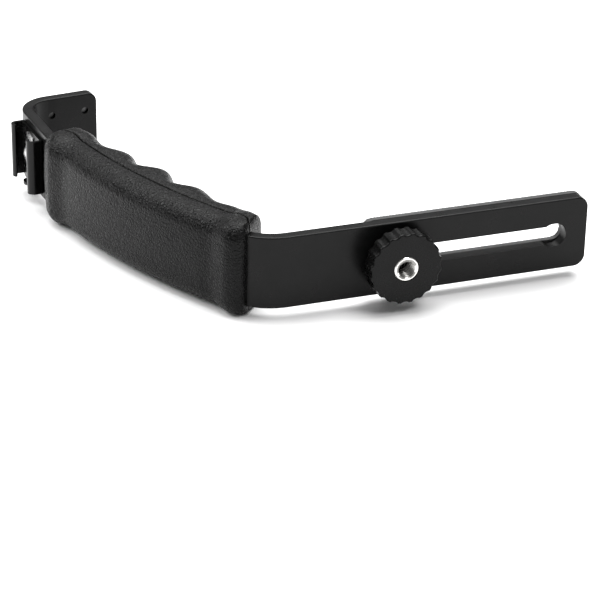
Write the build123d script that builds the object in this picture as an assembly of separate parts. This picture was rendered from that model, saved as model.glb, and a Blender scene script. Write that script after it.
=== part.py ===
from build123d import *
import os
from math import cos, pi, radians, sin

# C-shaped camera and light bracket with a moulded hand grip, in millimetres.
# The flat bar stands on its long edge: X runs along the slotted arm towards its free end,
# +Z is up across the bar's width, and +Y points from the slotted arm into the C.
# The origin is on the camera stud's axis, where its thread begins just above the pad.
# Places along the bar are stations: the distance along its outer face from where the near
# bend starts, negative on the slotted arm. Depth is measured from the outer face into the C.

# ---- flat bar ----
bar_width = 25.4
bar_thick = 4.0
arm_length = 106.0
near_bend_radius = 19.0
near_bend_turn = 56.0
bow_radius = 240.0
bow_turn = 24.0
upper_bend_radius = 50.0
upper_bend_turn = 5.8
shoe_seat_length = 20.6
top_bend_radius = 12.0
top_bend_turn = 88.4
short_arm_length = 18.7
arm_corner_radius = 4.0
short_arm_corner_radius = 3.5
bar_edge_round = 0.5

# ---- slot, clamp knob and camera screw ----
stud_diameter = 6.35
slot_side_clearance = 0.225
slot_start = -35.5
slot_end_margin = 7.6
slot_wide_extra = 1.6
slot_wide_run = 0.7
knob_station = -37.35
knob_diameter = 25.0
knob_thick = 6.2
knob_hub_diameter = 15.0
knob_hub_height = 2.2
knob_flutes = 20
knob_flute_radius = 2.4
knob_flute_depth = 0.55
knob_edge_round = 0.5
washer_diameter = 14.0
washer_thick = 0.8
running_clearance = 0.05
close_clearance = 0.02
screw_body_wall = 1.125
screw_body_proud = 0.2
socket_depth = 6.0
socket_chamfer = 0.4
stud_reach = 5.0
stud_chamfer = 0.7
stud_relief_depth = 0.7
stud_relief_length = 0.8
stud_thread_gap = 0.3

# ---- camera pad ----
pad_thick = 2.2
pad_length = 79.5
pad_corner_radius = 4.0

# ---- hand grip ----
grip_start = 14.0
grip_end = 117.5
seam_depth = 6.5
seam_end_depth = 2.0
seam_turn_length = 8.0
seam_corner_share = 0.35
grip_side_cover = 3.0
flare_extra_height = 0.8
flare_length = 12.5
shell_cover = 3.0
flare_cover = 4.3
lower_end_cover = 3.6
upper_end_cover = 2.9
flare_shift = 4.0
flare_peak_share = 0.4
outer_edge_round = 4.2
inner_edge_round = 4.0
grip_end_round = 2.4
# finger side: share of the grip's length from its start, and depth from the bar's outer face
finger_profile = (
    (0.0, 13.0),
    (0.134, 14.9),
    (0.22, 14.2),
    (0.335, 17.6),
    (0.43, 14.7),
    (0.529, 19.0),
    (0.627, 14.7),
    (0.723, 17.4),
    (0.823, 14.1),
    (0.919, 14.6),
    (1.0, 13.4),
)
grip_screw_shares = (0.144, 0.529, 0.89)
grip_boss_diameter = 7.0
grip_boss_reach = 5.0
grip_boss_clearance = 0.1
grip_screw_diameter = 3.0
grip_screw_length = 11.5
grip_head_diameter = 5.6
grip_head_height = 2.0
grip_head_depth = 11.5
head_clearance = 0.3
pocket_shares = ((0.2, 0.47), (0.588, 0.832))
pocket_floor_depth = 11.6
pocket_half_height = 10.5

# ---- accessory shoes ----
shoe_inner_width = 18.7
shoe_lip_curl = 50.0
shoe_sheet = 1.1
shoe_length = 20.0
shoe_lip_round = 2.2
shoe_base_round = 0.9
side_shoe_depth = 5.5
side_shoe_station = 134.3
top_shoe_depth = 4.8
top_shoe_station = 171.0
shoe_tab_width = 5.0
shoe_tab_height = 4.2
shoe_screw_pitch = 12.6
shoe_screw_diameter = 2.5
shoe_head_diameter = 4.7
shoe_screw_bite = 2.9
spring_width = 6.4
spring_sheet = 0.4
spring_half_length = 8.4
spring_foot = 2.0
spring_rise_share = 0.4
recess_width = 0.7
recess_span = 2.6
recess_depth = 0.7

slot_width = stud_diameter + 2 * slot_side_clearance
slot_wide_width = slot_width + slot_wide_extra
slot_wide_length = slot_wide_width + slot_wide_run
slot_stop = slot_end_margin - arm_length
stud_through = bar_thick + pad_thick
screw_body_diameter = stud_diameter + 2 * screw_body_wall
grip_length = grip_end - grip_start
grip_screw_stations = [grip_start + share * grip_length for share in grip_screw_shares]
finger_deepest = max(depth for share, depth in finger_profile)
boss_room = grip_boss_diameter + 2 * grip_boss_clearance
shoe_screw_room = shoe_screw_diameter + 2 * close_clearance
cut_over = 1.0
near_zero = 1e-3


# ---- the bar's path ----
def bar_legs():
    """Straight legs and turns of the outer face, from the slotted arm's end to the short arm's."""
    shape = (
        (arm_length, None),
        (near_bend_radius, near_bend_turn),
        (bow_radius, bow_turn),
        (upper_bend_radius, upper_bend_turn),
        (shoe_seat_length, None),
        (top_bend_radius, top_bend_turn),
        (short_arm_length, None),
    )
    legs = []
    station = -arm_length
    place = Vector(arm_length + knob_station, -stud_through - stud_thread_gap)
    heading = pi
    for size, turn in shape:
        length = size if turn is None else size * radians(turn)
        legs.append((station, station + length, place, heading, None if turn is None else size))
        place, heading = along(legs[-1], length)
        station += length
    return legs


def along(leg, distance):
    """Point and heading at a distance along one leg's outer face; turns are clockwise."""
    place, heading, radius = leg[2:]
    if radius is None:
        return place + Vector(cos(heading), sin(heading)) * distance, heading
    later = heading - distance / radius
    centre = place + Vector(sin(heading), -cos(heading)) * radius
    return centre - Vector(sin(later), -cos(later)) * radius, later


legs = bar_legs()
bar_end = legs[-1][1]


def at(station, depth=0.0):
    """Point of the bar's plan at a station, at a depth below the outer face."""
    leg = next(item for item in legs if station <= item[1] or item is legs[-1])
    place, heading = along(leg, station - leg[0])
    return place + Vector(sin(heading), -cos(heading)) * depth


def heading_at(station):
    """Direction of travel along the bar at a station."""
    leg = next(item for item in legs if station <= item[1] or item is legs[-1])
    heading = along(leg, station - leg[0])[1]
    return Vector(cos(heading), sin(heading))


def outward_plane(station, depth=0.0):
    """Plane on the bar: local Z points out of the C and local Y points up."""
    travel = heading_at(station)
    return Plane(origin=at(station, depth), x_dir=-travel, z_dir=(-travel.Y, travel.X, 0))


def bar_run(start, stop, depth):
    """Edges that follow the bar between two stations at one depth."""
    edges = []
    for leg in legs:
        first = max(start, leg[0])
        last = min(stop, leg[1])
        if last - first < near_zero:
            continue
        ends = at(first, depth), at(last, depth)
        if leg[4] is None:
            edges.append(Edge.make_line(*ends))
        else:
            edges.append(Edge.make_three_point_arc(ends[0], at((first + last) / 2, depth), ends[1]))
    return edges


def upright(edges, height):
    """Solid of one closed plan outline, centred on the bar's width."""
    face = Face(Wire(edges))
    return extrude(face, amount=height / 2, dir=(0, 0, 1), both=True)


def bar_block(start, stop, shallow, deep, height):
    """Block that follows the bar between two stations and two depths."""
    edges = bar_run(start, stop, shallow) + bar_run(start, stop, deep)
    edges.append(Edge.make_line(at(start, shallow), at(start, deep)))
    edges.append(Edge.make_line(at(stop, shallow), at(stop, deep)))
    return upright(edges, height)


def drill(plane, diameter, top, bottom):
    """Round cutter or rod along a plane's normal between two heights."""
    rod = Cylinder(diameter / 2, top - bottom, align=(Align.CENTER, Align.CENTER, Align.MIN))
    return plane * Pos(0, 0, bottom) * rod


def screw_places(station):
    """Planes of one shoe's four screws, on the bar's outer face."""
    seat = outward_plane(station)
    half = shoe_screw_pitch / 2
    return [Plane(seat.from_local_coords((x, y, 0)), seat.x_dir, seat.z_dir)
            for x in (-half, half) for y in (-half, half)]


# ---- flat bar and pad ----
def make_main_strap():
    bar = bar_block(-arm_length, bar_end, 0, bar_thick, bar_width)
    crosswise = [e for e in bar.edges() if abs(e.length - bar_thick) < near_zero and abs(e.center().Z) > 1]
    arm_corners = [e for e in crosswise if e.center().X > 0]
    short_corners = [e for e in crosswise if e.center().X < 0]
    bar = fillet(arm_corners, arm_corner_radius)
    bar = fillet([match_edge(bar, e) for e in short_corners], short_arm_corner_radius)
    bar = fillet([e for e in bar.edges() if not is_seam(e)], bar_edge_round)
    bar -= slot_cutter()
    bar -= wide_slot_cutter()
    for station in grip_screw_stations:
        bar -= drill(outward_plane(station), boss_room, cut_over, -bar_thick - cut_over)
    for station in (side_shoe_station, top_shoe_station):
        for place in screw_places(station):
            bar -= drill(place, shoe_screw_room, cut_over, -bar_thick - cut_over)
    return bar


def match_edge(shape, edge):
    """The edge of a shape that lies where a given edge does."""
    return min(shape.edges(), key=lambda item: (item.center() - edge.center()).length)


def is_seam(edge):
    """Whether an edge only joins two tangent faces of the bar, across its thickness or width."""
    straight = edge.geom_type == GeomType.LINE
    return straight and any(abs(edge.length - length) < near_zero for length in (bar_thick, bar_width))


def slot_between(start, stop, width, depth):
    """Round-ended slot between two stations of the slotted arm, cut to a depth from its outer face."""
    place = outward_plane((start + stop) / 2)
    return extrude(place * SlotOverall(abs(start - stop), width), amount=depth, both=True)


def slot_cutter():
    """The slot that the stud runs in, through the bar and the pad."""
    return slot_between(slot_start + slot_width / 2, slot_stop, slot_width, 2 * stud_through)


def wide_slot_cutter():
    """Wider opening at the slot's far end, through the bar alone."""
    return slot_between(slot_stop + slot_wide_length, slot_stop, slot_wide_width, bar_thick)


def make_camera_pad():
    pad = bar_block(-arm_length, -arm_length + pad_length, bar_thick, stud_through, bar_width)
    pad = fillet([e for e in pad.edges() if abs(e.length - pad_thick) < near_zero], pad_corner_radius)
    return pad - slot_cutter()


# ---- grip ----
def grip_elevation():
    """Solid that gives the grip its height: level along the body, taller at both ends."""
    low = bar_width / 2 + grip_side_cover
    high = low + flare_extra_height
    foot = at(grip_start)
    chord = at(grip_end) - foot
    reach = chord.length / 2
    near = flare_length
    far = chord.length - flare_length
    top = [
        Edge.make_line((-reach, high), (near / 2, high)),
        Edge.make_spline([(near / 2, high), (near, low)], tangents=[(1, 0), (1, 0)]),
        Edge.make_line((near, low), (far, low)),
        Edge.make_spline([(far, low), (far + near / 2, high)], tangents=[(1, 0), (1, 0)]),
        Edge.make_line((far + near / 2, high), (3 * reach, high)),
        Edge.make_line((3 * reach, high), (3 * reach, 0)),
        Edge.make_line((3 * reach, 0), (-reach, 0)),
        Edge.make_line((-reach, 0), (-reach, high)),
    ]
    side = Plane(origin=foot, x_dir=chord, z_dir=(chord.Y, -chord.X, 0))
    upper = extrude(side * Face(Wire(top)), amount=reach, both=True)
    return upper + mirror(upper, Plane.XY)


def grip_outer_curve():
    """Plan of the grip's outer face: a flare at each end and an even cover between."""
    lower_waist = grip_start + flare_length
    upper_waist = grip_end - flare_length - flare_shift
    lower = Edge.make_spline(
        [at(grip_start, -lower_end_cover), at(grip_start + flare_peak_share * flare_length, -flare_cover),
         at(lower_waist, -shell_cover)],
        tangents=[heading_at(grip_start), heading_at(lower_waist)])
    upper = Edge.make_spline(
        [at(upper_waist, -shell_cover), at(grip_end - (1 - flare_peak_share) * flare_length, -flare_cover),
         at(grip_end, -upper_end_cover)],
        tangents=[heading_at(upper_waist), heading_at(grip_end)])
    return [lower] + bar_run(lower_waist, upper_waist, -shell_cover) + [upper]


def grip_finger_curve():
    """Plan of the finger side: a smooth line over three ridges and four grooves."""
    points = [at(grip_start + share * grip_length, depth) for share, depth in finger_profile]
    return [Edge.make_spline(points, tangents=[heading_at(grip_start), heading_at(grip_end)])]


def seam_turn(station, inward):
    """Plan of the seam at one end of the grip, where it turns from the body's depth towards the bar."""
    corner = station + inward * seam_corner_share * seam_turn_length
    stop = station + inward * seam_turn_length
    return Edge.make_bezier(at(station, seam_end_depth), at(corner, seam_depth), at(stop, seam_depth))


def seam_curve():
    """Plan of the seam between the halves: past the bar along the body, beside it at both ends."""
    body = bar_run(grip_start + seam_turn_length, grip_end - seam_turn_length, seam_depth)
    return [seam_turn(grip_start, 1)] + body + [seam_turn(grip_end, -1)]


def grip_half(skin, skin_ends, edge_round):
    """One grip half from the seam to its skin, with rounded outer edges."""
    edges = skin + seam_curve()
    for station, depth in zip((grip_start, grip_end), skin_ends):
        edges.append(Edge.make_line(at(station, depth), at(station, seam_end_depth)))
    tall = bar_width + 4 * (grip_side_cover + flare_extra_height)
    half = upright(edges, tall) & grip_elevation()
    half = half.solids()[0]
    half = fillet(skin_edges(half, skin), edge_round)
    return fillet(end_edges(half), grip_end_round)


def bar_channel(deep):
    """Cutter for the bar's channel through the grip, from the bar's outer face to a depth."""
    return bar_block(grip_start - cut_over, grip_end + cut_over, 0, deep, bar_width)


def skin_edges(half, skin):
    """The long top and bottom edges of a grip half's skin."""
    found = []
    for edge in half.edges():
        middle = edge @ 0.5
        flat = Vector(middle.X, middle.Y)
        on_skin = min(curve.distance_to(flat) for curve in skin) < near_zero
        if on_skin and abs(middle.Z) > bar_width / 2:
            found.append(edge)
    return found


def end_edges(half):
    """The edges between a grip half's skin and its two ends."""
    found = []
    for station in (grip_start, grip_end):
        away = heading_at(station)
        for edge in half.edges():
            points = [edge @ 0, edge @ 0.5, edge @ 1]
            in_plane = all(abs((Vector(p.X, p.Y) - at(station)).dot(away)) < near_zero for p in points)
            seam = all((Vector(p.X, p.Y) - at(station, seam_end_depth)).length < near_zero for p in points)
            if in_plane and not seam:
                found.append(edge)
    return found


def make_grip_outer_shell():
    ends = -lower_end_cover, -upper_end_cover
    shell = grip_half(grip_outer_curve(), ends, outer_edge_round)
    shell -= bar_channel(seam_depth + cut_over)
    for station in grip_screw_stations:
        place = outward_plane(station)
        shell += drill(place, grip_boss_diameter, shell_cover / 2, -bar_thick - grip_boss_reach)
        shell -= drill(place, grip_screw_diameter + 2 * close_clearance, 0, -bar_thick - grip_boss_reach)
    return shell


def make_grip_inner_shell():
    ends = finger_profile[0][1], finger_profile[-1][1]
    shell = grip_half(grip_finger_curve(), ends, inner_edge_round)
    tongue_width = bar_width - 2 * close_clearance
    shell += bar_block(grip_start, grip_end, bar_thick, seam_depth + cut_over, tongue_width)
    shell -= bar_channel(bar_thick)
    for shares in pocket_shares:
        first, last = [grip_start + share * grip_length for share in shares]
        shell -= bar_block(first, last, bar_thick, pocket_floor_depth, 2 * pocket_half_height)
    for station in grip_screw_stations:
        place = outward_plane(station)
        shell -= drill(place, boss_room, 0, -bar_thick - grip_boss_reach)
        shell -= drill(place, grip_screw_diameter + 2 * close_clearance, 0, -grip_head_depth)
        head_room = grip_head_diameter + 2 * head_clearance
        shell -= drill(place, head_room, -grip_head_depth, -finger_deepest - cut_over)
    return shell


def cross_recess(span, width, depth):
    """Cross-shaped driver recess that opens upwards at local zero height."""
    arm = Box(span, width, depth, align=(Align.CENTER, Align.CENTER, Align.MAX))
    return arm + Rot(0, 0, 90) * arm


def make_grip_screw(station):
    """Pan-head screw from the finger side into the outer shell's boss."""
    place = outward_plane(station)
    screw = drill(place, grip_screw_diameter, -grip_head_depth + grip_screw_length, -grip_head_depth)
    head = drill(place, grip_head_diameter, -grip_head_depth, -grip_head_depth - grip_head_height)
    rim = head.edges().sort_by(lambda e: (e.center() - at(station, 2 * grip_head_depth)).length)[0]
    head = fillet(rim, grip_head_height / 3)
    socket = Rot(180, 0, 0) * cross_recess(grip_head_diameter / 2, recess_width, recess_depth)
    return screw + head - place * Pos(0, 0, -grip_head_depth - grip_head_height) * socket


# ---- clamp knob, camera screw and washer ----
knob_plane = outward_plane(knob_station)


def make_thrust_washer():
    return drill(knob_plane, washer_diameter, washer_thick, 0) - drill(
        knob_plane, stud_diameter + 2 * running_clearance, washer_thick, 0)


def make_clamp_knob():
    back = washer_thick + knob_hub_height
    front = back + knob_thick
    disc = Pos(0, 0, back) * Cylinder(knob_diameter / 2, knob_thick,
                                      align=(Align.CENTER, Align.CENTER, Align.MIN))
    ring = knob_diameter / 2 - knob_flute_depth + knob_flute_radius
    for turn in range(knob_flutes):
        flute = Cylinder(knob_flute_radius, 3 * knob_thick)
        disc -= Rot(0, 0, 360 * turn / knob_flutes) * Pos(ring, 0, back) * flute
    rims = [f.outer_wire().edges() for f in disc.faces().filter_by(Axis.Z)]
    disc = fillet([edge for rim in rims for edge in rim], knob_edge_round)
    hub = Pos(0, 0, washer_thick) * Cylinder(knob_hub_diameter / 2, knob_hub_height,
                                             align=(Align.CENTER, Align.CENTER, Align.MIN))
    knob = knob_plane * (disc + hub)
    return knob - drill(knob_plane, screw_body_diameter + 2 * close_clearance, front + 1, 0)


def make_camera_screw():
    """Turned screw: a socketed body pressed into the knob, and a stud through the bar and pad."""
    face = washer_thick + knob_hub_height + knob_thick + screw_body_proud
    tip = -stud_through - stud_reach
    body = Pos(0, 0, washer_thick) * Cylinder(screw_body_diameter / 2, face - washer_thick,
                                              align=(Align.CENTER, Align.CENTER, Align.MIN))
    stud = Pos(0, 0, tip) * Cylinder(stud_diameter / 2, washer_thick - tip,
                                     align=(Align.CENTER, Align.CENTER, Align.MIN))
    stud = chamfer(stud.edges().sort_by(Axis.Z)[0], stud_chamfer)
    relief = Cylinder(stud_diameter, stud_relief_length, align=(Align.CENTER, Align.CENTER, Align.MIN))
    relief -= Cylinder(stud_diameter / 2 - stud_relief_depth, 3 * stud_relief_length)
    stud -= Pos(0, 0, -stud_through - stud_thread_gap) * relief
    socket = Cylinder((stud_diameter + running_clearance) / 2, socket_depth,
                      align=(Align.CENTER, Align.CENTER, Align.MIN))
    screw = body + stud - Pos(0, 0, face - socket_depth) * socket
    rims = [e for e in screw.edges().filter_by(GeomType.CIRCLE) if abs(e.center().Z - face) < near_zero]
    return knob_plane * chamfer(rims, socket_chamfer)


# ---- accessory shoes ----
def shoe_section(depth):
    """Channel section with curled lips: local X across the shoe, local Y out from the bar."""
    width = shoe_inner_width + 2 * shoe_sheet
    outside = Pos(0, depth / 2) * Rectangle(width, depth)
    outside = fillet(outside.vertices().group_by(Axis.Y)[-1], shoe_lip_round)
    outside = fillet(outside.vertices().group_by(Axis.Y)[0], shoe_base_round)
    inside = Pos(0, depth / 2) * Rectangle(shoe_inner_width, depth - 2 * shoe_sheet)
    inside = fillet(inside.vertices().group_by(Axis.Y)[-1], shoe_lip_round - shoe_sheet)
    curl_centre = width / 2 - shoe_lip_round
    section = outside - inside - Pos(0, depth) * Rectangle(2 * curl_centre, 3 * shoe_sheet)
    ring = Circle(shoe_lip_round) - Circle(shoe_lip_round - shoe_sheet)
    reach = 2 * shoe_lip_round
    for side in (-1, 1):
        tip = -side * reach * sin(radians(shoe_lip_curl)), reach * cos(radians(shoe_lip_curl))
        curl = ring & make_face(Polyline((0, 0), (0, reach), tip, close=True))
        section += Pos(side * curl_centre, depth - shoe_lip_round) * curl
    return section


def make_shoe(station, depth):
    """Folded sheet channel with rolled lips, a stop tab at its lower end and four screw holes."""
    across = Plane.XZ
    shoe = extrude(across * shoe_section(depth), amount=shoe_length / 2, both=True)
    stem = Pos(0, (shoe_tab_height - shoe_tab_width / 2) / 2) * Rectangle(
        shoe_tab_width, shoe_tab_height - shoe_tab_width / 2)
    tab = stem + Pos(0, shoe_tab_height - shoe_tab_width / 2) * Circle(shoe_tab_width / 2)
    tab &= Pos(0, shoe_tab_height / 2) * Rectangle(shoe_tab_width, shoe_tab_height)
    shoe += Pos(0, -shoe_length / 2 + shoe_sheet, 0) * extrude(across * tab, amount=shoe_sheet)
    half = shoe_screw_pitch / 2
    for x in (-half, half):
        for y in (-half, half):
            shoe -= Pos(x, y, 0) * countersunk(close_clearance)
    return outward_plane(station) * shoe


def countersunk(clearance):
    """Countersunk screw shape, its flat head level with the shoe's inner floor."""
    shank = Pos(0, 0, -shoe_screw_bite) * Cylinder(
        shoe_screw_diameter / 2 + clearance, shoe_screw_bite + shoe_sheet,
        align=(Align.CENTER, Align.CENTER, Align.MIN))
    head = Cone(shoe_screw_diameter / 2 + clearance, shoe_head_diameter / 2 + clearance, shoe_sheet,
                align=(Align.CENTER, Align.CENTER, Align.MIN))
    return shank + head


def make_shoe_screw(place):
    recess = Pos(0, 0, shoe_sheet) * cross_recess(recess_span, recess_width, recess_depth)
    return place * (countersunk(0) - recess)


def make_shoe_spring(station, depth):
    """Arched leaf between the floor's screws that presses a foot against the lips."""
    low = shoe_sheet
    rise = spring_rise_share * (depth - 2 * shoe_sheet)
    inner = spring_half_length - spring_foot
    lower = [(-spring_half_length, low), (-inner, low), (0, low + rise), (inner, low),
             (spring_half_length, low)]
    upper = [(x, y + spring_sheet) for x, y in lower]
    edges = []
    for line in (lower, upper):
        edges.append(Edge.make_line(line[0], line[1]))
        edges.append(Edge.make_spline(line[1:4], tangents=[(1, 0), (1, 0)]))
        edges.append(Edge.make_line(line[3], line[4]))
    edges.append(Edge.make_line(lower[0], upper[0]))
    edges.append(Edge.make_line(lower[-1], upper[-1]))
    leaf = extrude(Plane.YZ * Face(Wire(edges)), amount=spring_width / 2, both=True)
    return outward_plane(station) * leaf


# ---- the assembly ----
def make_all():
    pieces = {
        "main_strap": make_main_strap(),
        "camera_pad": make_camera_pad(),
        "grip_outer_shell": make_grip_outer_shell(),
        "grip_inner_shell": make_grip_inner_shell(),
        "thrust_washer": make_thrust_washer(),
        "clamp_knob": make_clamp_knob(),
        "camera_screw": make_camera_screw(),
    }
    for number, station in enumerate(grip_screw_stations, 1):
        pieces[f"grip_screw_{number}"] = make_grip_screw(station)
    shoes = (
        ("side_shoe", side_shoe_station, side_shoe_depth),
        ("top_shoe", top_shoe_station, top_shoe_depth),
    )
    for name, station, depth in shoes:
        pieces[name] = make_shoe(station, depth)
        pieces[f"{name}_spring"] = make_shoe_spring(station, depth)
        for number, place in enumerate(screw_places(station), 1):
            pieces[f"{name}_screw_{number}"] = make_shoe_screw(place)
    return pieces


os.makedirs("parts", exist_ok=True)
for name, piece in make_all().items():
    export_step(piece, f"parts/{name}.step")
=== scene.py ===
from math import atan2, cos, hypot, pi, radians, sin, tau

import bmesh
import bpy
from mathutils import Matrix, Vector


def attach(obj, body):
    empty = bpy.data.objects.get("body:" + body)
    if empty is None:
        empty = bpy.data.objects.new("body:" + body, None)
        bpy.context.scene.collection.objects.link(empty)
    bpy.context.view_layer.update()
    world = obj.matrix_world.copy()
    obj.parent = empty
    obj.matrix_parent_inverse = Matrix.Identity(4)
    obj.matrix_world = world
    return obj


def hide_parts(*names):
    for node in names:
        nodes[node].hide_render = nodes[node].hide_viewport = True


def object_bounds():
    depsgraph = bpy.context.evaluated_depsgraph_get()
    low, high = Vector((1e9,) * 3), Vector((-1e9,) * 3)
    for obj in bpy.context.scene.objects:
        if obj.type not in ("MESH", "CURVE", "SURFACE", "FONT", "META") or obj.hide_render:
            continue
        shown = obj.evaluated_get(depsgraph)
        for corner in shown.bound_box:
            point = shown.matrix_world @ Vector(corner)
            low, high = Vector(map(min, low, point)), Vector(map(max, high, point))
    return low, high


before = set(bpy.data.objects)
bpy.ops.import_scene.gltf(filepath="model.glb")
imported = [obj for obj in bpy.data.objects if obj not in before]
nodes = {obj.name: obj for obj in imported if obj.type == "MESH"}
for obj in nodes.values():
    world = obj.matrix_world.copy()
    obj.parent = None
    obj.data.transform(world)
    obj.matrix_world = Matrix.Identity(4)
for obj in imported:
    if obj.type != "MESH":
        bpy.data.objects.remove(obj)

MM = 0.001
SAME_POINT = 1e-7
SMOOTH_ANGLE = radians(32)
GRIP_SMOOTH_ANGLE = radians(40)
PAD_SMOOTH_ANGLE = radians(25)
cad_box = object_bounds()
scene = bpy.context.scene

# ---------------------------------------------------------------- view
VIEW_TARGET = Vector((-0.0405, -0.0261, 0.0))
VIEW_DISTANCE = 0.8267
VIEW_TURN = radians(20.17)
VIEW_TILT = radians(26.6)
VIEW_ROLL = radians(1.1)
LENS = 156.8
SENSOR_WIDTH = 36.0


def look(turn, tilt):
    """Unit vector that a camera turned from +Y towards +X and tilted down looks along."""
    return Vector((sin(turn) * cos(tilt), cos(turn) * cos(tilt), -sin(tilt)))


def make_camera():
    data = bpy.data.cameras.new("camera")
    data.lens = LENS
    data.sensor_width = SENSOR_WIDTH
    camera = bpy.data.objects.new("camera", data)
    scene.collection.objects.link(camera)
    ahead = look(VIEW_TURN, VIEW_TILT)
    right = Vector((cos(VIEW_TURN), -sin(VIEW_TURN), 0.0))
    up = right.cross(ahead)
    level = Matrix((right, up, -ahead)).transposed().to_4x4()
    camera.matrix_world = (Matrix.Translation(VIEW_TARGET - ahead * VIEW_DISTANCE)
                           @ level @ Matrix.Rotation(VIEW_ROLL, 4, "Z"))
    scene.camera = camera


# ---------------------------------------------------------------- the bar's path, in millimetres
ARM_END = 68.65
OUTER_FACE = -6.5
BAR_THICK = 4.0
BAR_HALF = 12.7
LEGS = ((106.0, None), (19.0, 56.0), (240.0, 24.0), (50.0, 5.8), (20.6, None), (12.0, 88.4), (18.7, None))


def path_legs():
    """Start station, start point, heading and radius of each straight or bend of the bar's outer face."""
    legs = []
    station, place, heading = -LEGS[0][0], Vector((ARM_END, OUTER_FACE)), pi
    for size, turn in LEGS:
        length = size if turn is None else size * radians(turn)
        radius = None if turn is None else size
        legs.append((station, place, heading, radius))
        place, heading = along(legs[-1], length)
        station += length
    return legs


def along(leg, distance):
    place, heading, radius = leg[1:]
    if radius is None:
        return place + Vector((cos(heading), sin(heading))) * distance, heading
    later = heading - distance / radius
    centre = place + Vector((sin(heading), -cos(heading))) * radius
    return centre - Vector((sin(later), -cos(later))) * radius, later


def at(station, depth=0.0):
    """Plan point at a station along the bar, at a depth below its outer face."""
    leg = [item for item in PATH if item[0] <= station + 1e-6][-1]
    place, heading = along(leg, station - leg[0])
    return place + Vector((sin(heading), -cos(heading))) * depth


PATH = path_legs()


def smooth_through(knots, value):
    """Cubic curve through (place, height) knots with level ends."""
    value = min(max(value, knots[0][0]), knots[-1][0])
    slopes = [0.0]
    for before, after in zip(knots, knots[2:]):
        slopes.append((after[1] - before[1]) / (after[0] - before[0]))
    slopes.append(0.0)
    index = max(i for i in range(len(knots) - 1) if knots[i][0] <= value)
    (a, low), (b, high) = knots[index], knots[index + 1]
    t, span = (value - a) / (b - a), b - a
    return (low * (2 * t ** 3 - 3 * t ** 2 + 1) + slopes[index] * span * (t ** 3 - 2 * t ** 2 + t)
            + high * (3 * t ** 2 - 2 * t ** 3) + slopes[index + 1] * span * (t ** 3 - t ** 2))


def new_object(name, points, faces, sharp=SMOOTH_ANGLE):
    """Mesh object from points in millimetres."""
    mesh = bpy.data.meshes.new(name)
    mesh.from_pydata([tuple(c * MM for c in p) for p in points], [], faces)
    work = bmesh.new()
    work.from_mesh(mesh)
    bmesh.ops.remove_doubles(work, verts=work.verts, dist=SAME_POINT)
    bmesh.ops.recalc_face_normals(work, faces=work.faces)
    work.to_mesh(mesh)
    work.free()
    mesh.shade_smooth()
    mesh.set_sharp_from_angle(angle=sharp)
    piece = bpy.data.objects.new(name, mesh)
    scene.collection.objects.link(piece)
    return piece


def cut(piece, tools, operation="DIFFERENCE", sharp=SMOOTH_ANGLE):
    """Applies boolean tools to a piece and removes them."""
    for tool in tools:
        step = piece.modifiers.new("cut", "BOOLEAN")
        step.operation = operation
        step.solver = "EXACT"
        step.object = tool
    graph = bpy.context.evaluated_depsgraph_get()
    mesh = bpy.data.meshes.new_from_object(piece.evaluated_get(graph))
    piece.modifiers.clear()
    piece.data = mesh
    mesh.shade_smooth()
    mesh.set_sharp_from_angle(angle=sharp)
    for tool in tools:
        bpy.data.objects.remove(tool)


def finish_piece(piece, body, slot, material, *replaced):
    piece.data.materials.clear()
    piece.data.materials.append(material)
    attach(piece, body)
    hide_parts(*replaced)


# ---------------------------------------------------------------- materials
class Shader:
    """A node material built around one Principled shader."""

    def __init__(self, name):
        self.material = bpy.data.materials.new(name)
        self.material.use_nodes = True
        self.tree = self.material.node_tree
        self.bsdf = self.tree.nodes["Principled BSDF"]
        self.place = self.add("ShaderNodeTexCoord").outputs["Object"]

    def add(self, kind, **settings):
        node = self.tree.nodes.new(kind)
        for key, value in settings.items():
            setattr(node, key, value)
        return node

    def link(self, source, target):
        self.tree.links.new(source, target)

    def noise(self, scale, detail):
        node = self.add("ShaderNodeTexNoise")
        node.inputs["Scale"].default_value = scale
        node.inputs["Detail"].default_value = detail
        self.link(self.place, node.inputs["Vector"])
        return node.outputs["Fac"]

    def cells(self, scale, place):
        """Distance from the borders of Voronoi cells, at a warped place."""
        node = self.add("ShaderNodeTexVoronoi", feature="DISTANCE_TO_EDGE")
        node.inputs["Scale"].default_value = scale
        self.link(place, node.inputs["Vector"])
        return node.outputs["Distance"]

    def ramp(self, value, stops):
        node = self.add("ShaderNodeValToRGB")
        for index, (position, level) in enumerate(stops):
            stop = node.color_ramp.elements[index] if index < 2 else node.color_ramp.elements.new(position)
            stop.position = position
            colour = level if isinstance(level, tuple) else (level, level, level)
            stop.color = (*colour, 1.0)
        self.link(value, node.inputs["Fac"])
        return node.outputs["Color"]

    def colour(self, output):
        self.link(output, self.bsdf.inputs["Base Color"])

    def roughness(self, output):
        self.link(output, self.bsdf.inputs["Roughness"])

    def bump(self, layers):
        """Adds bump layers: (height output, strength, distance in metres)."""
        normal = None
        for height, strength, distance in layers:
            node = self.add("ShaderNodeBump")
            node.inputs["Strength"].default_value = strength
            node.inputs["Distance"].default_value = distance
            self.link(height, node.inputs["Height"])
            if normal is not None:
                self.link(normal, node.inputs["Normal"])
            normal = node.outputs["Normal"]
        self.link(normal, self.bsdf.inputs["Normal"])

    def set(self, **values):
        for key, value in values.items():
            self.bsdf.inputs[key.replace("_", " ")].default_value = value


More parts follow.
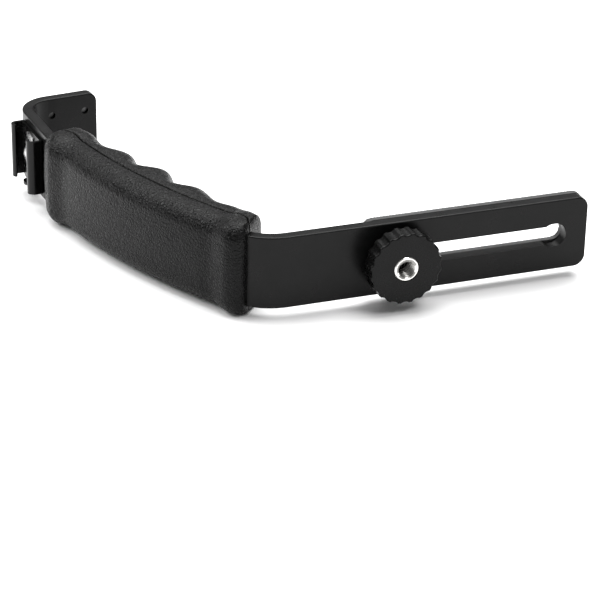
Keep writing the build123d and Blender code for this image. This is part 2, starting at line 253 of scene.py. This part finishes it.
def black_paint():
    """Semi-gloss powder paint: a very fine orange peel and faint cloudiness in colour and polish."""
    s = Shader("black_paint")
    s.colour(s.ramp(s.noise(45.0, 5.0), ((0.3, 0.0025), (0.7, 0.0045))))
    s.roughness(s.ramp(s.noise(160.0, 6.0), ((0.3, 0.26), (0.7, 0.36))))
    s.bump(((s.noise(2600.0, 2.0), 0.16, 0.00004), (s.noise(420.0, 3.0), 0.16, 0.00010)))
    s.set(Specular_IOR_Level=0.135)
    return s.material


def shoe_paint():
    """Glossier black paint on the folded sheet, with a slight unevenness."""
    s = Shader("shoe_paint")
    s.colour(s.ramp(s.noise(90.0, 5.0), ((0.35, 0.0012), (0.75, 0.0025))))
    s.roughness(s.ramp(s.noise(240.0, 6.0), ((0.3, 0.16), (0.7, 0.27))))
    s.bump(((s.noise(1500.0, 2.0), 0.14, 0.00004),))
    s.set(Specular_IOR_Level=0.18)
    return s.material


def grip_leather():
    """Leather-grained moulding: small pebbles split by fine creases, over longer folds and a finer grain."""
    s = Shader("grip_leather")
    warp = s.add("ShaderNodeMixRGB", blend_type="ADD")
    warp.inputs[0].default_value = 0.0007
    noise = s.add("ShaderNodeTexNoise")
    noise.inputs["Scale"].default_value = 420.0
    s.link(s.place, noise.inputs["Vector"])
    s.link(s.place, warp.inputs[1])
    s.link(noise.outputs["Color"], warp.inputs[2])
    small_cells = s.cells(900.0, warp.outputs["Color"])
    pebbles = s.ramp(small_cells, ((0.0, 0.0), (0.25, 0.85), (0.6, 1.0)))
    large_cells = s.cells(420.0, warp.outputs["Color"])
    folds = s.ramp(large_cells, ((0.0, 0.0), (0.12, 0.9), (0.45, 1.0)))
    s.colour(s.ramp(s.noise(120.0, 6.0), ((0.3, 0.0014), (0.7, 0.0028))))
    s.roughness(s.ramp(pebbles, ((0.0, 0.42), (1.0, 0.21))))
    s.bump(((folds, 0.40, 0.00020), (pebbles, 0.60, 0.00016), (s.noise(3200.0, 3.0), 0.3, 0.00003)))
    s.set(Specular_IOR_Level=0.11)
    return s.material


def knob_plastic():
    """Black moulding with a fine spark-eroded grain."""
    s = Shader("knob_plastic")
    s.colour(s.ramp(s.noise(150.0, 5.0), ((0.3, 0.0022), (0.7, 0.0038))))
    s.roughness(s.ramp(s.noise(500.0, 5.0), ((0.3, 0.22), (0.7, 0.32))))
    s.bump(((s.noise(2400.0, 3.0), 0.25, 0.00004),))
    s.set(Specular_IOR_Level=0.115)
    return s.material


def pad_rubber():
    """Matt rubber with a fine pitted skin, lighter in patches."""
    s = Shader("pad_rubber")
    s.colour(s.ramp(s.noise(200.0, 6.0), ((0.3, 0.014), (0.7, 0.035))))
    s.roughness(s.ramp(s.noise(600.0, 4.0), ((0.3, 0.50), (0.7, 0.70))))
    s.bump(((s.noise(1400.0, 4.0), 0.5, 0.00010),))
    return s.material


def metal(name, low, high, rough_low, rough_high, tint=(1.0, 1.0, 1.0)):
    """Bare or plated metal with fine surface marks and uneven polish."""
    s = Shader(name)
    s.set(Metallic=1.0)
    dark = tuple(low * c for c in tint)
    light = tuple(high * c for c in tint)
    s.colour(s.ramp(s.noise(260.0, 6.0), ((0.3, dark), (0.7, light))))
    s.roughness(s.ramp(s.noise(900.0, 5.0), ((0.3, rough_low), (0.7, rough_high))))
    s.bump(((s.noise(2200.0, 2.0), 0.10, 0.00003),))
    return s.material


def floor_paper():
    """Pale paper, a little uneven."""
    s = Shader("floor_paper")
    s.colour(s.ramp(s.noise(6.0, 3.0), ((0.3, 0.93), (0.7, 0.95))))
    s.roughness(s.ramp(s.noise(30.0, 3.0), ((0.3, 0.85), (0.7, 0.95))))
    return s.material


def paint(node, material):
    nodes[node].data.materials.clear()
    nodes[node].data.materials.append(material)


# ---------------------------------------------------------------- stage
FLOOR_SIZE = 6.0
SKY_STRENGTH = 0.32
SUN_POWER = 5.2
SUN_ANGLE = radians(60)
SUN_TURN = 200
SUN_TILT = 68
# name, turn and tilt of the light's direction in degrees, distance and size in metres, watts
AREA_LIGHTS = (
    ("back_left", 124, 37, 0.8, (0.5, 0.3), 4.0),
    ("front_top", -35, 57, 0.9, (0.4, 0.25), 2.5),
)


def area_light(name, turn, tilt, distance, size, power):
    data = bpy.data.lights.new(name, "AREA")
    data.shape = "RECTANGLE"
    data.size, data.size_y = size
    data.energy = power
    light = bpy.data.objects.new(name, data)
    scene.collection.objects.link(light)
    ahead = look(radians(turn), radians(tilt))
    light.location = VIEW_TARGET - ahead * distance
    light.rotation_euler = ahead.to_track_quat("-Z", "Y").to_euler()


def make_stage():
    bpy.ops.mesh.primitive_plane_add(size=FLOOR_SIZE, location=(0, 0, cad_box[0][2]))
    floor = bpy.context.object
    floor.name = "floor"
    floor.data.materials.append(floor_paper())
    world = bpy.data.worlds.new("world")
    world.use_nodes = True
    sky = world.node_tree.nodes["Background"]
    sky.inputs["Color"].default_value = (1.0, 1.0, 1.0, 1.0)
    sky.inputs["Strength"].default_value = SKY_STRENGTH
    scene.world = world
    scene.view_settings.view_transform = "Standard"
    sun = bpy.data.lights.new("soft_sun", "SUN")
    sun.energy = SUN_POWER
    sun.angle = SUN_ANGLE
    sun_place = bpy.data.objects.new("soft_sun", sun)
    scene.collection.objects.link(sun_place)
    sun_place.rotation_euler = look(radians(SUN_TURN), radians(SUN_TILT)).to_track_quat("-Z", "Y").to_euler()
    for light in AREA_LIGHTS:
        area_light(*light)


# ---------------------------------------------------------------- grip
GRIP_START = 14.0
GRIP_END = 117.5
GRIP_STEPS = 150
# how far the rows of the mesh crowd towards the grip's ends
END_CROWDING = 0.35
SEAM_DEPTH = 6.5
SEAM_END_DEPTH = 2.0
SEAM_TURN = 8.0
SEAM_CORNER_SHARE = 0.35
SEAM_GAP = 0.35
SEAM_LIP = 0.6
BODY_HALF = 15.7
FLARE_HALF = 16.5
SKIN_ROUND = 6.0
FINGER_ROUND = 5.6
END_ROUND = 2.4
UPPER_SKIN_ROUND = 1.5
FACE_CROWN = 0.35
# distance from the grip's end, cover over the bar's outer face
LOWER_COVER = ((0.0, 3.6), (5.2, 4.4), (12.0, 2.9), (18.0, 3.0))
UPPER_COVER = ((0.0, 2.2), (1.4, 2.9), (3.2, 3.6), (5.2, 4.1), (7.5, 4.3), (14.5, 2.7), (22.0, 3.0))
FLARE_RISE = ((0.0, 1.0), (6.25, 1.0), (12.5, 0.0))
FINGER_DEPTH = ((0.0, 13.0), (0.134, 14.9), (0.22, 14.2), (0.335, 17.6), (0.43, 14.7), (0.529, 19.0),
                (0.627, 14.7), (0.723, 17.4), (0.823, 14.1), (0.919, 14.6), (1.0, 13.4))
GRIP_SCREW_SHARES = (0.144, 0.529, 0.89)
HEAD_ROOM = 3.1
HEAD_DEPTH = 11.5
LIP_POINTS = 5
ARC_POINTS = 14
FACE_POINTS = 10


def seam_at(distance):
    """Depth of the seam at a distance from the grip's nearer end."""
    if distance > SEAM_TURN:
        return SEAM_DEPTH
    bend = 1 - 2 * SEAM_CORNER_SHARE
    reach = distance / SEAM_TURN
    t = ((SEAM_CORNER_SHARE ** 2 + bend * reach) ** 0.5 - SEAM_CORNER_SHARE) / bend
    return SEAM_DEPTH - (SEAM_DEPTH - SEAM_END_DEPTH) * (1 - t) ** 2


def half_outline(middle, far, half, radius, lip):
    """Upper half of a section's skin as (depth, height), from the seam round to the face's middle."""
    way = 1.0 if far > middle else -1.0
    seam = middle + way * SEAM_GAP / 2
    centre_d, centre_z = far - way * radius, half - radius
    lip_end = seam + way * lip
    reach = min(max(way * (lip_end - centre_d), 0.0) / radius, 1.0)
    start = atan2((1 - reach ** 2) ** 0.5, reach)
    top = centre_z + radius * sin(start)
    points = [(seam, BAR_HALF)]
    for step in range(LIP_POINTS):
        turn = pi / 2 * step / (LIP_POINTS - 1)
        points.append((seam + way * lip * (1 - cos(turn)), top - lip * (1 - sin(turn))))
    for step in range(1, ARC_POINTS + 1):
        turn = start * (1 - step / ARC_POINTS)
        points.append((centre_d + way * radius * cos(turn), centre_z + radius * sin(turn)))
    for step in range(1, FACE_POINTS + 1):
        share = 1 - step / FACE_POINTS
        points.append((far + way * FACE_CROWN * (1 - share ** 2), centre_z * share))
    return points


def end_inset(distance, radius):
    """How far a rounded end draws its skin in, at a distance from the end."""
    left = max(radius - distance, 0.0)
    return radius - (radius ** 2 - left ** 2) ** 0.5


def grip_section(share, outer):
    """Skin and channel outlines of one grip half at a share of the grip's length."""
    length = GRIP_END - GRIP_START
    station = GRIP_START + share * length
    low, high = station - GRIP_START, GRIP_END - station
    flare = min(max(smooth_through(FLARE_RISE, low), smooth_through(FLARE_RISE, high)), 1.0)
    half = BODY_HALF + (FLARE_HALF - BODY_HALF) * flare
    inset = end_inset(min(low, high), END_ROUND)
    if outer:
        knots = (LOWER_COVER, low) if low < high else (UPPER_COVER, high)
        skin_round = UPPER_SKIN_ROUND if high < low else END_ROUND
        far = end_inset(min(low, high), skin_round) - smooth_through(*knots)
        bar_side = 0.0
    else:
        far = smooth_through(FINGER_DEPTH, share) - inset
        bar_side = BAR_THICK
    radius = (SKIN_ROUND if outer else FINGER_ROUND) - inset
    upper = half_outline(seam_at(min(low, high)), far, half - inset, radius, SEAM_LIP)
    skin = upper + [(d, -z) for d, z in reversed(upper[:-1])]
    count = len(skin)
    channel = []
    for index in range(count):
        t = 3.0 * index / (count - 1)
        seam = skin[0][0]
        if t <= 1:
            channel.append((seam + (bar_side - seam) * t, BAR_HALF))
        elif t <= 2:
            channel.append((bar_side, BAR_HALF * (3 - 2 * t)))
        else:
            channel.append((bar_side + (seam - bar_side) * (t - 2), -BAR_HALF))
    return station, skin, channel


def make_grip_half(name, outer):
    points, faces = [], []
    shares = [0.5 - 0.5 * cos(pi * i / GRIP_STEPS) for i in range(GRIP_STEPS + 1)]
    shares = [END_CROWDING * a + (1 - END_CROWDING) * i / GRIP_STEPS for i, a in enumerate(shares)]
    for share in shares:
        station, skin, channel = grip_section(share, outer)
        for depth, height in skin + channel[::-1]:
            place = at(station, depth)
            points.append((place.x, place.y, height))
    ring = len(points) // len(shares)
    half_ring = ring // 2
    for row in range(len(shares) - 1):
        for index in range(ring):
            a, b = row * ring + index, row * ring + (index + 1) % ring
            faces.append((a, b, b + ring, a + ring))
    for base in (0, (len(shares) - 1) * ring):
        for index in range(half_ring - 1):
            inner = ring - 1 - index
            faces.append((base + index, base + index + 1, base + inner - 1, base + inner))
    return new_object(name, points, faces, GRIP_SMOOTH_ANGLE)


def rod(name, start, stop, radius, sides=48):
    """Closed round rod between two points in millimetres."""
    start, stop = Vector(start), Vector(stop)
    axis = (stop - start).normalized()
    across = axis.orthogonal().normalized()
    other = axis.cross(across)
    points = []
    for centre in (start, stop):
        for side in range(sides):
            turn = tau * side / sides
            points.append(centre + (across * cos(turn) + other * sin(turn)) * radius)
    faces = [(i, (i + 1) % sides, sides + (i + 1) % sides, sides + i) for i in range(sides)]
    faces.append(tuple(range(sides - 1, -1, -1)))
    faces.append(tuple(range(sides, 2 * sides)))
    return new_object(name, points, faces)


def make_grip(material):
    outer = make_grip_half("grip_outer_skin", True)
    inner = make_grip_half("grip_finger_skin", False)
    wells = []
    for share in GRIP_SCREW_SHARES:
        station = GRIP_START + share * (GRIP_END - GRIP_START)
        floor, mouth = at(station, HEAD_DEPTH), at(station, 2 * HEAD_DEPTH)
        wells.append(rod("well", (*floor, 0.0), (*mouth, 0.0), HEAD_ROOM))
    cut(inner, wells, sharp=GRIP_SMOOTH_ANGLE)
    finish_piece(outer, "bracket", "black_grip_plastic", material, "grip_outer_shell")
    finish_piece(inner, "bracket", "black_grip_plastic", material, "grip_inner_shell")


# ---------------------------------------------------------------- camera screw
THREAD_PITCH = 1.27
THREAD_OUTER = 3.175
THREAD_ROOT = 2.5
SCREW_BODY = 4.3
BODY_FACE_RISE = 9.4
BODY_BACK_RISE = 0.8
SOCKET_DEPTH = 6.0
BODY_FACE = OUTER_FACE - BODY_FACE_RISE
BODY_BACK = OUTER_FACE - BODY_BACK_RISE
SOCKET_FLOOR = BODY_FACE + SOCKET_DEPTH
SOCKET_CREST = 2.6
SOCKET_GROOVE = 3.2
SCREW_CHAMFER = 0.4
STUD_TIP = 4.7
STUD_CHAMFER = 0.7
RELIEF = 0.8
RELIEF_RADIUS = 2.475
THREAD_FLAT = 0.12
ROWS_PER_PITCH = 12
SCREW_SIDES = 72
# how far outside the socket's wall and floor a face still takes the darker nickel, the painted shade of the
# hole
GROOVE_MARGIN = 0.05
FLOOR_MARGIN = 0.1


def thread_radius(level, turn, inner, outer):
    """Radius of a V thread with narrow flats at its crest and root."""
    phase = (level / THREAD_PITCH - turn / tau) % 1.0
    share = min(max((abs(2 * phase - 1) - THREAD_FLAT) / (1 - 2 * THREAD_FLAT), 0.0), 1.0)
    return inner + (outer - inner) * share


def make_camera_screw(material, socket_shade_material):
    rows = [(SOCKET_FLOOR, lambda turn: SOCKET_CREST)]
    mouth = BODY_FACE + SCREW_CHAMFER
    count = round((SOCKET_FLOOR - mouth) / THREAD_PITCH * ROWS_PER_PITCH)
    for index in range(count + 1):
        level = SOCKET_FLOOR + (mouth - SOCKET_FLOOR) * index / count
        rows.append((level, lambda turn, level=level: thread_radius(
            level, turn, SOCKET_CREST, SOCKET_GROOVE)))
    plain = [(BODY_FACE, SOCKET_GROOVE + SCREW_CHAMFER), (BODY_FACE, SCREW_BODY - SCREW_CHAMFER),
             (BODY_FACE + SCREW_CHAMFER, SCREW_BODY), (BODY_BACK, SCREW_BODY), (BODY_BACK, THREAD_OUTER),
             (-RELIEF, THREAD_OUTER), (-RELIEF, RELIEF_RADIUS), (0.0, RELIEF_RADIUS)]
    for level, radius in plain:
        rows.append((level, lambda turn, radius=radius: radius))
    count = round(STUD_TIP / THREAD_PITCH * ROWS_PER_PITCH)
    for index in range(count + 1):
        level = STUD_TIP * index / count
        most = min(THREAD_OUTER, THREAD_OUTER - STUD_CHAMFER + STUD_TIP - level)
        rows.append((level, lambda turn, level=level, most=most: min(
            most, thread_radius(level, turn, THREAD_ROOT, THREAD_OUTER))))
    points, faces = [], []
    for level, radius in rows:
        for side in range(SCREW_SIDES):
            turn = tau * side / SCREW_SIDES
            points.append((radius(turn) * cos(turn), level, radius(turn) * sin(turn)))
    for row in range(len(rows) - 1):
        for side in range(SCREW_SIDES):
            a, b = row * SCREW_SIDES + side, row * SCREW_SIDES + (side + 1) % SCREW_SIDES
            faces.append((a, b, b + SCREW_SIDES, a + SCREW_SIDES))
    faces.append(tuple(range(SCREW_SIDES - 1, -1, -1)))
    last = (len(rows) - 1) * SCREW_SIDES
    faces.append(tuple(range(last, last + SCREW_SIDES)))
    screw = new_object("threaded_camera_screw", points, faces)
    finish_piece(screw, "knob", "nickel_plated", material, "camera_screw")
    # the socket's wall and floor get a darker copy of the nickel: painted shade inside the threaded hole
    screw.data.materials.append(socket_shade_material)
    for face in screw.data.polygons:
        x, y, z = face.center / MM
        if y < SOCKET_FLOOR + FLOOR_MARGIN and hypot(x, z) < SOCKET_GROOVE + GROOVE_MARGIN:
            face.material_index = 1


# ---------------------------------------------------------------- camera pad
PAD_LENGTH = 79.5
PAD_CORNER = 4.0
PAD_BACK = OUTER_FACE + BAR_THICK
PAD_FACE = -0.3
SLOT_HALF = 3.4
SLOT_CENTRES = (-1.85, 57.65)
RIB_PITCH = 1.1
RIB_FOOT = 0.8
RIB_CREST = 0.5
RIB_HEIGHT = 0.25
RIB_SINK = 0.2
RIB_OVERRUN = 1.0
RIB_FACES = ((0, 1, 3, 2), (4, 6, 7, 5), (0, 4, 5, 1), (2, 3, 7, 6), (0, 2, 6, 4), (1, 5, 7, 3))
ARC_STEPS = 12


def rounded_loop(corners, radius):
    """Counter-clockwise loop with each corner point replaced by an arc round it."""
    loop = []
    for (x, z), first in corners:
        for step in range(ARC_STEPS + 1):
            turn = first + pi / 2 * step / ARC_STEPS
            loop.append((x + radius * cos(turn), z + radius * sin(turn)))
    return loop


def pad_slab(name, back, face):
    """Pad outline with its slot, between two levels."""
    x0, x1 = ARM_END - PAD_LENGTH + PAD_CORNER, ARM_END - PAD_CORNER
    z1 = BAR_HALF - PAD_CORNER
    outline = rounded_loop((((x1, z1), 0.0), ((x0, z1), pi / 2), ((x0, -z1), pi), ((x1, -z1), 1.5 * pi)),
                           PAD_CORNER)
    low, high = SLOT_CENTRES
    slot = rounded_loop((((high, 0.0), 0.0), ((low, 0.0), pi / 2), ((low, 0.0), pi), ((high, 0.0), 1.5 * pi)),
                        SLOT_HALF)
    work = bmesh.new()
    edges = []
    for loop in (outline, slot):
        verts = [work.verts.new((x * MM, back * MM, z * MM)) for x, z in loop]
        edges += [work.edges.new((a, b)) for a, b in zip(verts, verts[1:] + verts[:1])]
    bmesh.ops.remove_doubles(work, verts=work.verts, dist=SAME_POINT)
    edges = list(work.edges)
    bmesh.ops.triangle_fill(work, use_beauty=True, use_dissolve=False, edges=edges)
    extruded = bmesh.ops.extrude_face_region(work, geom=list(work.faces))
    moved = [item for item in extruded["geom"] if isinstance(item, bmesh.types.BMVert)]
    bmesh.ops.translate(work, verts=moved, vec=(0.0, (face - back) * MM, 0.0))
    bmesh.ops.recalc_face_normals(work, faces=work.faces)
    mesh = bpy.data.meshes.new(name)
    work.to_mesh(mesh)
    work.free()
    piece = bpy.data.objects.new(name, mesh)
    scene.collection.objects.link(piece)
    return piece


def make_camera_pad(material):
    pad = pad_slab("ribbed_camera_pad", PAD_BACK, PAD_FACE - RIB_HEIGHT)
    points, faces = [], []
    reach = 2 * BAR_HALF
    start = ARM_END - PAD_LENGTH - reach
    foot = PAD_FACE - RIB_HEIGHT - RIB_SINK
    for index in range(int((PAD_LENGTH + 2 * reach) / RIB_PITCH)):
        middle = start + index * RIB_PITCH
        base = len(points)
        for end in (-1, 1):
            for width, level in ((RIB_FOOT, foot), (RIB_CREST, PAD_FACE)):
                for side in (-1, 1):
                    along_arm = middle + side * width / 2 + end * BAR_HALF
                    points.append((along_arm, level, end * (BAR_HALF + RIB_OVERRUN)))
        for face in RIB_FACES:
            faces.append(tuple(base + corner for corner in face))
    ribs = new_object("ribs", points, faces)
    cut(ribs, [pad_slab("outline", PAD_BACK, PAD_FACE + RIB_OVERRUN)], "INTERSECT")
    cut(pad, [ribs], "UNION", PAD_SMOOTH_ANGLE)
    finish_piece(pad, "bracket", "black_rubber", material, "camera_pad")


# ---------------------------------------------------------------- object
def dress_cad():
    paint_black = black_paint()
    shoe = shoe_paint()
    spring = metal("spring_steel", 0.55, 0.7, 0.22, 0.35)
    screws = metal("black_screws", 0.05, 0.08, 0.35, 0.5)
    paint("main_strap", paint_black)
    paint("clamp_knob", knob_plastic())
    paint("thrust_washer", metal("washer_steel", 0.5, 0.6, 0.3, 0.4))
    for name in nodes:
        if name.endswith("_shoe"):
            paint(name, shoe)
        if name.endswith("_spring"):
            paint(name, spring)
        if "_screw_" in name:
            paint(name, screws)


make_camera()
make_stage()
dress_cad()
make_grip(grip_leather())
# the second metal is the nickel darkened to paint the shade inside the socket
make_camera_screw(metal("nickel_plate", 0.78, 0.88, 0.16, 0.28, (1.0, 0.985, 0.95)),
                  metal("socket_painted_shade", 0.18, 0.30, 0.22, 0.36, (1.0, 0.985, 0.95)))
make_camera_pad(pad_rubber())
